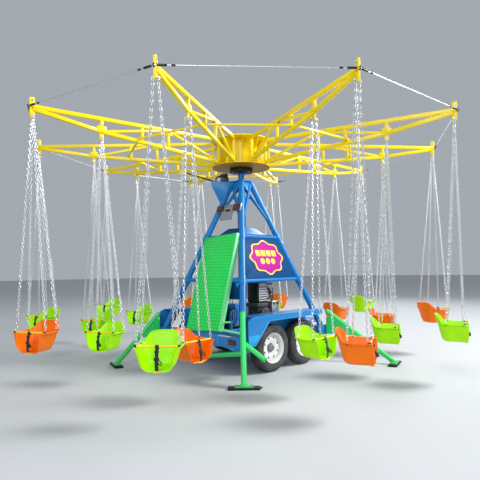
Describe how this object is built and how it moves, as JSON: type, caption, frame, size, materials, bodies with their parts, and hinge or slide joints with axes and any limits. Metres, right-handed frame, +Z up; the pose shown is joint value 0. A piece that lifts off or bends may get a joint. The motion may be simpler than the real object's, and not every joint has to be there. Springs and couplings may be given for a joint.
{
  "type": "swing ride",
  "caption": "Trailer-mounted children's swing ride: truss arms turn on a tower over the trailer and carry bucket seats on chains, with outriggers and a stowed boarding ramp.",
  "frame": {"origin": "on the ground under the rotor's axis, which is the middle of the bounding box", "axes": "+Z up, +X towards the trailer's towing end, +Y to the trailer's left side"},
  "size_m": [6.8341, 6.8059, 3.62],
  "materials": {
    "blue_paint": "gloss enamel on welded steel",
    "dark_blue_paint": "satin enamel on sheet steel",
    "yellow_paint": "gloss enamel on welded steel tube",
    "green_paint": "gloss enamel on steel",
    "black_paint": "satin black",
    "grey_plate": "brushed sheet",
    "galvanised_steel": "galvanised",
    "tyre_rubber": "matte, lightly dusty",
    "lime_plastic": "moulded, semi-gloss",
    "orange_plastic": "moulded, semi-gloss"
  },
  "bodies": {
    "base": {"chassis": "blue_paint", "mast": "blue_paint", "slewing_ring": "black_paint", "tower_head": "blue_paint", "drive_motor": "black_paint", "leg_rear_right": "blue_paint", "leg_front_right": "blue_paint", "leg_front_left": "blue_paint", "leg_rear_left": "blue_paint", "lower_rails": "blue_paint", "upper_rails": "blue_paint", "sign_panel": "dark_blue_paint", "hood": "blue_paint", "rear_panel": "dark_blue_paint", "boarding_ramp": "green_paint", "light_bar": "grey_plate", "power_unit": "black_paint", "mudguard_right": "blue_paint", "mudguard_left": "blue_paint", "outrigger_rear_right": "green_paint", "outrigger_rear_left": "green_paint", "outrigger_front_right": "green_paint", "outrigger_front_left": "green_paint"},
    "rotor": {"hub": "yellow_paint", "tie_ring": "yellow_paint", "perimeter_cable": "galvanised_steel", "arm_0": "yellow_paint", "arm_1": "yellow_paint", "arm_2": "yellow_paint", "arm_3": "yellow_paint", "arm_4": "yellow_paint", "arm_5": "yellow_paint", "arm_6": "yellow_paint", "arm_7": "yellow_paint", "arm_8": "yellow_paint", "arm_9": "yellow_paint"},
    "wheel_rear_right": {"wheel_rear_right": "tyre_rubber"},
    "wheel_rear_left": {"wheel_rear_left": "tyre_rubber"},
    "wheel_front_right": {"wheel_front_right": "tyre_rubber"},
    "wheel_front_left": {"wheel_front_left": "tyre_rubber"},
    "outer_seat_0": {"outer_seat_0": "lime_plastic"},
    "inner_seat_0": {"inner_seat_0": "orange_plastic"},
    "outer_seat_1": {"outer_seat_1": "orange_plastic"},
    "inner_seat_1": {"inner_seat_1": "lime_plastic"},
    "outer_seat_2": {"outer_seat_2": "lime_plastic"},
    "inner_seat_2": {"inner_seat_2": "lime_plastic"},
    "outer_seat_3": {"outer_seat_3": "orange_plastic"},
    "inner_seat_3": {"inner_seat_3": "orange_plastic"},
    "outer_seat_4": {"outer_seat_4": "lime_plastic"},
    "inner_seat_4": {"inner_seat_4": "orange_plastic"},
    "outer_seat_5": {"outer_seat_5": "orange_plastic"},
    "inner_seat_5": {"inner_seat_5": "lime_plastic"},
    "outer_seat_6": {"outer_seat_6": "orange_plastic"},
    "inner_seat_6": {"inner_seat_6": "lime_plastic"},
    "outer_seat_7": {"outer_seat_7": "lime_plastic"},
    "inner_seat_7": {"inner_seat_7": "lime_plastic"},
    "outer_seat_8": {"outer_seat_8": "lime_plastic"},
    "inner_seat_8": {"inner_seat_8": "lime_plastic"},
    "outer_seat_9": {"outer_seat_9": "orange_plastic"},
    "inner_seat_9": {"inner_seat_9": "lime_plastic"}
  },
  "joints": [
    {"name": "rotor_spin", "type": "hinge", "parent": "base", "child": "rotor", "pos_m": [0, 0, 3.17], "axis": [0, 0, 1], "continuous": true},
    {"name": "outer_swing_0", "type": "hinge", "parent": "rotor", "child": "outer_seat_0", "pos_m": [-2.7974, -1.63467, 3.408], "axis": [-0.5045, 0.8634, 0], "range_deg": [-4, 45]},
    {"name": "inner_swing_0", "type": "hinge", "parent": "rotor", "child": "inner_seat_0", "pos_m": [-2.05488, -1.20078, 3.28], "axis": [-0.5045, 0.8634, 0], "range_deg": [-3.6, 40.5]},
    {"name": "outer_swing_1", "type": "hinge", "parent": "rotor", "child": "outer_seat_1", "pos_m": [-1.30231, -2.96675, 3.408], "axis": [-0.9157, 0.4019, 0], "range_deg": [-4, 45]},
    {"name": "inner_swing_1", "type": "hinge", "parent": "rotor", "child": "inner_seat_1", "pos_m": [-0.95664, -2.17928, 3.28], "axis": [-0.9157, 0.4019, 0], "range_deg": [-3.6, 40.5]},
    {"name": "outer_swing_2", "type": "hinge", "parent": "rotor", "child": "outer_seat_2", "pos_m": [0.69022, -3.16563, 3.408], "axis": [-0.977, -0.213, 0], "range_deg": [-4, 45]},
    {"name": "inner_swing_2", "type": "hinge", "parent": "rotor", "child": "inner_seat_2", "pos_m": [0.50701, -2.32537, 3.28], "axis": [-0.977, -0.213, 0], "range_deg": [-3.6, 40.5]},
    {"name": "outer_swing_3", "type": "hinge", "parent": "rotor", "child": "outer_seat_3", "pos_m": [2.41911, -2.15535, 3.408], "axis": [-0.6652, -0.7466, 0], "range_deg": [-4, 45]},
    {"name": "inner_swing_3", "type": "hinge", "parent": "rotor", "child": "inner_seat_3", "pos_m": [1.777, -1.58325, 3.28], "axis": [-0.6652, -0.7466, 0], "range_deg": [-3.6, 40.5]},
    {"name": "outer_swing_4", "type": "hinge", "parent": "rotor", "child": "outer_seat_4", "pos_m": [3.22398, -0.3218, 3.408], "axis": [-0.0993, -0.9951, 0], "range_deg": [-4, 45]},
    {"name": "inner_swing_4", "type": "hinge", "parent": "rotor", "child": "inner_seat_4", "pos_m": [2.36823, -0.23638, 3.28], "axis": [-0.0993, -0.9951, 0], "range_deg": [-3.6, 40.5]},
    {"name": "outer_swing_5", "type": "hinge", "parent": "rotor", "child": "outer_seat_5", "pos_m": [2.7974, 1.63467, 3.408], "axis": [0.5045, -0.8634, 0], "range_deg": [-4, 45]},
    {"name": "inner_swing_5", "type": "hinge", "parent": "rotor", "child": "inner_seat_5", "pos_m": [2.05488, 1.20078, 3.28], "axis": [0.5045, -0.8634, 0], "range_deg": [-3.6, 40.5]},
    {"name": "outer_swing_6", "type": "hinge", "parent": "rotor", "child": "outer_seat_6", "pos_m": [1.30231, 2.96675, 3.408], "axis": [0.9157, -0.4019, 0], "range_deg": [-4, 45]},
    {"name": "inner_swing_6", "type": "hinge", "parent": "rotor", "child": "inner_seat_6", "pos_m": [0.95664, 2.17928, 3.28], "axis": [0.9157, -0.4019, 0], "range_deg": [-3.6, 40.5]},
    {"name": "outer_swing_7", "type": "hinge", "parent": "rotor", "child": "outer_seat_7", "pos_m": [-0.69022, 3.16563, 3.408], "axis": [0.977, 0.213, 0], "range_deg": [-4, 45]},
    {"name": "inner_swing_7", "type": "hinge", "parent": "rotor", "child": "inner_seat_7", "pos_m": [-0.50701, 2.32537, 3.28], "axis": [0.977, 0.213, 0], "range_deg": [-3.6, 40.5]},
    {"name": "outer_swing_8", "type": "hinge", "parent": "rotor", "child": "outer_seat_8", "pos_m": [-2.41911, 2.15535, 3.408], "axis": [0.6652, 0.7466, 0], "range_deg": [-4, 45]},
    {"name": "inner_swing_8", "type": "hinge", "parent": "rotor", "child": "inner_seat_8", "pos_m": [-1.777, 1.58325, 3.28], "axis": [0.6652, 0.7466, 0], "range_deg": [-3.6, 40.5]},
    {"name": "outer_swing_9", "type": "hinge", "parent": "rotor", "child": "outer_seat_9", "pos_m": [-3.22398, 0.3218, 3.408], "axis": [0.0993, 0.9951, 0], "range_deg": [-4, 45]},
    {"name": "inner_swing_9", "type": "hinge", "parent": "rotor", "child": "inner_seat_9", "pos_m": [-2.36823, 0.23638, 3.28], "axis": [0.0993, 0.9951, 0], "range_deg": [-3.6, 40.5]},
    {"name": "wheel_spin_rear_right", "type": "hinge", "parent": "base", "child": "wheel_rear_right", "pos_m": [-0.33, -0.875, 0.353], "axis": [0, 1, 0], "continuous": true},
    {"name": "wheel_spin_rear_left", "type": "hinge", "parent": "base", "child": "wheel_rear_left", "pos_m": [-0.33, 0.875, 0.353], "axis": [0, 1, 0], "continuous": true},
    {"name": "wheel_spin_front_right", "type": "hinge", "parent": "base", "child": "wheel_front_right", "pos_m": [0.415, -0.875, 0.353], "axis": [0, 1, 0], "continuous": true},
    {"name": "wheel_spin_front_left", "type": "hinge", "parent": "base", "child": "wheel_front_left", "pos_m": [0.415, 0.875, 0.353], "axis": [0, 1, 0], "continuous": true}
  ],
  "couplings": [
    {"joint": "inner_swing_0", "follows": "outer_swing_0", "ratio": 0.9},
    {"joint": "inner_swing_1", "follows": "outer_swing_1", "ratio": 0.9},
    {"joint": "inner_swing_2", "follows": "outer_swing_2", "ratio": 0.9},
    {"joint": "inner_swing_3", "follows": "outer_swing_3", "ratio": 0.9},
    {"joint": "inner_swing_4", "follows": "outer_swing_4", "ratio": 0.9},
    {"joint": "inner_swing_5", "follows": "outer_swing_5", "ratio": 0.9},
    {"joint": "inner_swing_6", "follows": "outer_swing_6", "ratio": 0.9},
    {"joint": "inner_swing_7", "follows": "outer_swing_7", "ratio": 0.9},
    {"joint": "inner_swing_8", "follows": "outer_swing_8", "ratio": 0.9},
    {"joint": "inner_swing_9", "follows": "outer_swing_9", "ratio": 0.9}
  ]
}
